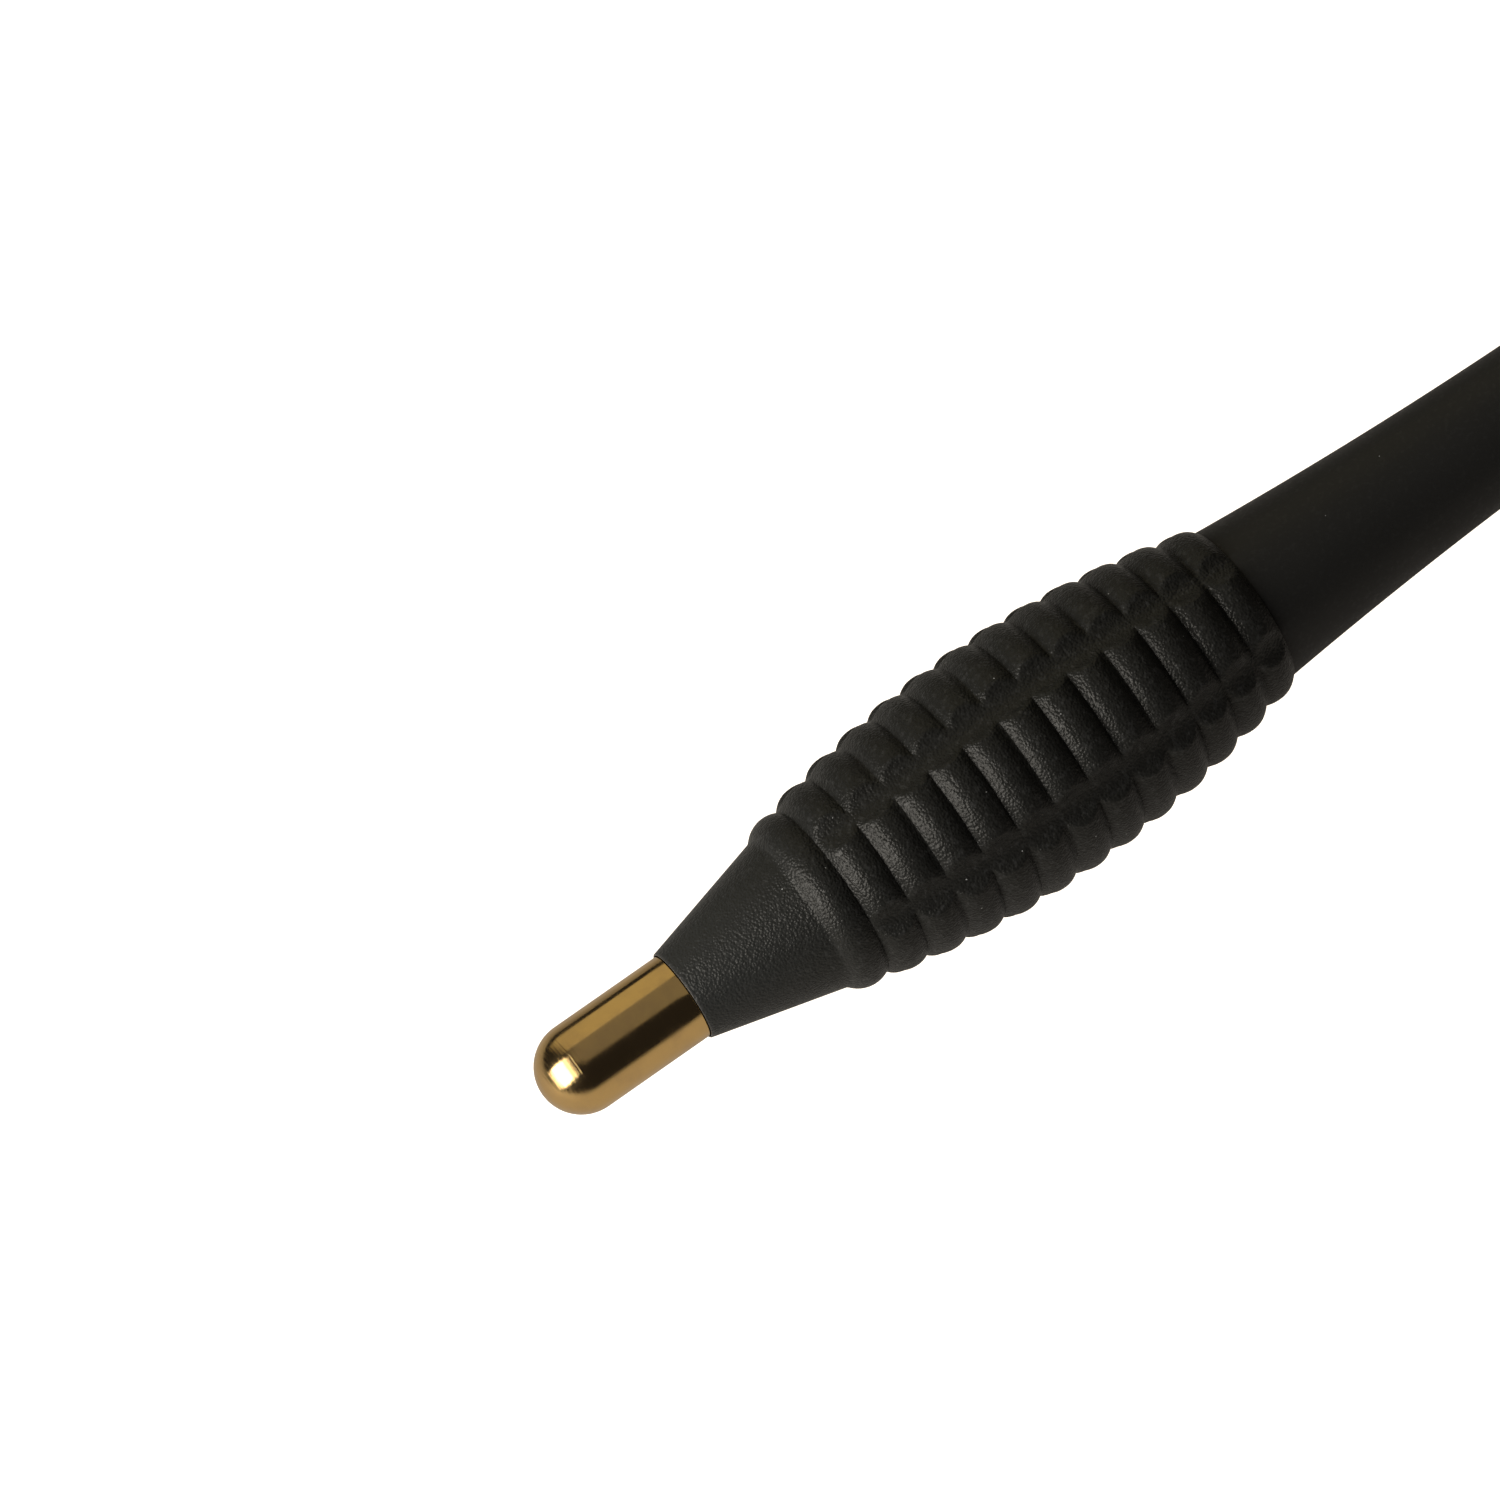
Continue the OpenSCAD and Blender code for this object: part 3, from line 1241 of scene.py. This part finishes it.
@dataclass(frozen=True)
class Panel:
    """A soft rectangular light that faces the tool."""

    name: str
    place: tuple[float, float, float]
    size: tuple[float, float]
    brightness: float
    colour: Colour = (1.0, 1.0, 1.0)
    target: tuple[float, float, float] = (0.03, 0.0, 0.0)

    def hang(self, lean: Matrix) -> None:
        """Adds the light, turned to its target and hidden from the camera itself.

        Args:
            lean: The turn about the tool's axis shared with the camera.
        """
        data = bpy.data.lights.new(self.name, "AREA")
        data.shape = "RECTANGLE"
        data.size, data.size_y = self.size
        data.energy = 4.0 * self.size[0] * self.size[1] * self.brightness
        data.color = self.colour
        lamp = bpy.data.objects.new(self.name, data)
        bpy.context.scene.collection.objects.link(lamp)
        lamp.location = lean @ Vector(self.place)
        lamp.visible_camera = False
        aim = Vector(self.target) - Vector(self.place)
        lamp.rotation_mode = "QUATERNION"
        lamp.rotation_quaternion = lean.to_quaternion() @ aim.to_track_quat("-Z", "Y")


@dataclass
class Studio:
    """Camera, floor and soft lights."""

    grip: Grip
    azimuth_deg: float = -36.0
    elevation_deg: float = 72.8
    lean_deg: float = 14.0
    distance: float = 0.9
    field_width: float = 125.0 * MM
    aim: tuple[float, float, float] = (16.05 * MM, 12.55 * MM, 6.06 * MM)
    sensor: float = 36.0
    floor_size: float = 6.0
    floor_colour: Colour = (0.3, 0.29, 0.27)
    glow_colour: Colour = (1.0, 0.9, 0.79)
    backdrop: float = 1.4
    table_glow: float = 0.155
    glow_rise: tuple[float, float] = (-200.0 * MM, -40.0 * MM)
    glow_fall: tuple[float, float] = (0.0, 90.0 * MM)
    surround: float = 0.016
    surround_colour: Colour = (0.95, 0.95, 1.2)
    panels: tuple[Panel, ...] = (
        Panel(
            "side_panel",
            (0.35, 0.8, 0.47),
            (1.3, 0.94),
            0.3,
            (1.0, 0.92, 0.62),
            target=(0.35, 0.0, 0.47),
        ),
        Panel("front_panel", (-0.6, 0.04, 0.36), (0.62, 0.45), 5.8),
        Panel("top_panel", (0.17, 0.25, 0.95), (1.0, 0.86), 0.13, (1.0, 0.97, 0.86)),
    )

    @property
    def lean(self) -> Matrix:
        """The turn about the tool's axis that the camera and the lights share."""
        return Matrix.Rotation(math.radians(self.lean_deg), 4, "X")

    def camera(self) -> None:
        """Places the camera and makes it the scene's."""
        data = bpy.data.cameras.new("camera")
        data.sensor_width = self.sensor
        data.lens = data.sensor_width * self.distance / self.field_width
        data.clip_start = 0.01
        data.clip_end = 20.0
        camera = bpy.data.objects.new("camera", data)
        bpy.context.scene.collection.objects.link(camera)
        a, e = math.radians(self.azimuth_deg), math.radians(self.elevation_deg)
        back = Vector(
            (math.sin(a) * math.cos(e), -math.cos(a) * math.cos(e), math.sin(e))
        )
        camera.location = self.lean @ (Vector(self.aim) + back * self.distance)
        camera.rotation_mode = "QUATERNION"
        level = (-back).to_track_quat("-Z", "Y")
        camera.rotation_quaternion = self.lean.to_quaternion() @ level
        bpy.context.scene.camera = camera

    def floor(self) -> None:
        """Lays a pale floor that touches the grip's belly and the tail."""
        deselect()
        bpy.ops.mesh.primitive_plane_add(size=self.floor_size, location=(0.0, 0.0, 0.0))
        plane = bpy.context.object
        plane.name = "floor"
        tail, belly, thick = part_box("barrel")[1].x, self.grip.belly, self.grip.belly_radius
        slope = math.asin((thick - self.grip.barrel.radius_at(tail)) / (tail - belly))
        plane.rotation_euler = (0.0, -slope, 0.0)
        plane.location = (belly + thick * math.sin(slope), 0.0, -thick * math.cos(slope))
        material = bpy.data.materials.new("pale_floor")
        material.use_nodes = True
        s = Shader(material.node_tree)
        principled = material.node_tree.nodes["Principled BSDF"]
        principled.inputs["Base Color"].default_value = (*self.floor_colour, 1.0)
        principled.inputs["Roughness"].default_value = 0.9
        principled.inputs["Emission Color"].default_value = (*self.glow_colour, 1.0)
        # Beyond the even glow the camera sees, the floor glows for every ray as painted light,
        # and that glow fades off along Y on both sides as painted shade.
        seen = s.add("ShaderNodeLightPath").outputs["Is Camera Ray"]
        split = s.add("ShaderNodeSeparateXYZ")
        s.feed(split.inputs[0], s.add("ShaderNodeTexCoord").outputs["Object"])
        fall = s.span(split.outputs["Y"], *self.glow_fall, self.table_glow, 0.0)
        rise = s.span(split.outputs["Y"], *self.glow_rise, 0.0, 1.0)
        lit = s.math("MULTIPLY", fall, rise)
        glow = s.math("ADD", s.math("MULTIPLY", seen, self.backdrop), lit)
        s.feed(principled.inputs["Emission Strength"], glow)
        plane.data.materials.append(material)

    def world(self) -> None:
        """Sets a dim, even surround."""
        world = bpy.data.worlds.new("studio")
        world.use_nodes = True
        back = world.node_tree.nodes["Background"]
        back.inputs["Color"].default_value = (*self.surround_colour, 1.0)
        back.inputs["Strength"].default_value = self.surround
        bpy.context.scene.world = world

    def build(self) -> None:
        """Sets up the whole studio."""
        self.camera()
        self.floor()
        self.world()
        for panel in self.panels:
            panel.hang(self.lean)
        bpy.context.scene.view_settings.view_transform = "Standard"


@dataclass
class Finishes:
    """Every finish of the tool, by the record's material slot."""

    effects: Effects = field(default_factory=Effects)

    def build(self) -> dict[str, bpy.types.Material]:
        """Makes the materials.

        Returns:
            The material of each slot.
        """
        coats = {
            "gold_plate": PlatedGold("gold_plate", (0.93, 0.60, 0.225), 0.12),
            "pole_steel": TurnedMetal("pole_steel", (0.52, 0.53, 0.55), 0.35),
            "magnet_nickel": TurnedMetal("magnet_nickel", (0.74, 0.73, 0.70), 0.16),
            "plug_brass": TurnedMetal("plug_brass", (0.76, 0.58, 0.30), 0.3),
            "bumper_rubber": MouldedRubber("bumper_rubber", (0.26, 0.05, 0.035), 0.7),
            "bush_bronze": TurnedMetal("bush_bronze", (0.56, 0.37, 0.20), 0.42),
            "grip_black": GrainedPlastic(
                "grip_black", (0.0165, 0.0160, 0.0138), 0.36, cell=4300.0, lip=0.35 * MM
            ),
            "core_aluminium": TurnedMetal("core_aluminium", (0.70, 0.71, 0.73), 0.3),
            "spring_steel": TurnedMetal("spring_steel", (0.58, 0.58, 0.59), 0.26),
            "washer_steel": TurnedMetal("washer_steel", (0.66, 0.66, 0.67), 0.24),
            "ring_rubber": MouldedRubber("ring_rubber", (0.018, 0.018, 0.018), 0.62),
            "insert_brass": TurnedMetal("insert_brass", (0.78, 0.60, 0.32), 0.32),
            "barrel_black": GrainedPlastic(
                "barrel_black",
                (0.019, 0.018, 0.0162),
                0.5,
                cell=5200.0,
                grain_height=0.006 * MM,
                grain_strength=0.5,
                shine=(0.024, 0.023, 0.021),
                dust=0.02,
                tint=(1.0, 0.96, 0.9),
            ),
            "eyelet_nickel": PlatedGold(
                "eyelet_nickel", (0.70, 0.70, 0.69), 0.2, wear_and_lip_highlight=(0.5, 0.5, 0.5)
            ),
        }
        return {slot: coat.dress(self.effects) for slot, coat in coats.items()}


@dataclass
class Detacher:
    """The whole tool: dresses the CAD nodes and adds the modelled pieces."""

    frame: dict
    paints: dict[str, bpy.types.Material]
    grip: Grip

    def dress_nodes(self) -> None:
        """Gives every CAD node the finish of its slot."""
        for row in self.frame["record"]["subparts"]:
            node = self.frame["nodes"][row["node"]]
            node.data.materials.clear()
            node.data.materials.append(self.paints[row["material_slot"]])
            LOG.info("dressed %s in %s", row["node"], row["material_slot"])

    def add(
        self, piece: bpy.types.Object, body: Body, slot: str, *nodes: str
    ) -> None:
        """Finishes a modelled piece and ties it to its body.

        Args:
            piece: The new piece.
            body: The body it moves with.
            slot: The record's material slot.
            *nodes: The CAD nodes it stands for.
        """
        piece.data.materials.clear()
        piece.data.materials.append(self.paints[slot])
        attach(piece, body.value)
        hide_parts(*nodes)
        LOG.info("%s stands for %s", piece.name, ", ".join(nodes))

    def build(self) -> None:
        """Dresses and adds everything."""
        self.dress_nodes()
        barrel = self.grip.barrel
        self.add(Probe().build(), Body.PLUNGER, "gold_plate", "probe_tip")
        self.add(self.grip.build(), Body.HANDLE, "grip_black", "grip_sleeve")
        self.add(barrel.build(), Body.HANDLE, "barrel_black", "barrel")
        cap = TailCap(barrel)
        self.add(cap.build(), Body.HANDLE, "barrel_black", "end_plug")
        eyelet = Eyelet(cap)
        self.add(eyelet.body(), Body.HANDLE, "eyelet_nickel", "tether_eyelet")
        self.add(eyelet.washer(), Body.HANDLE, "eyelet_nickel", "eyelet_washer")
        spring = Spring()
        coil = spring.build()
        self.add(coil, Body.HANDLE, "spring_steel", "return_spring")
        spring.give_way(coil)


def main() -> None:
    """Loads the frame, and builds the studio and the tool."""
    logging.basicConfig(level=logging.INFO, format="%(name)s: %(message)s")
    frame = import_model()
    grip = Grip(Barrel())
    Studio(grip).build()
    Detacher(frame, Finishes().build(), grip).build()


if __name__ == "__main__":
    main()
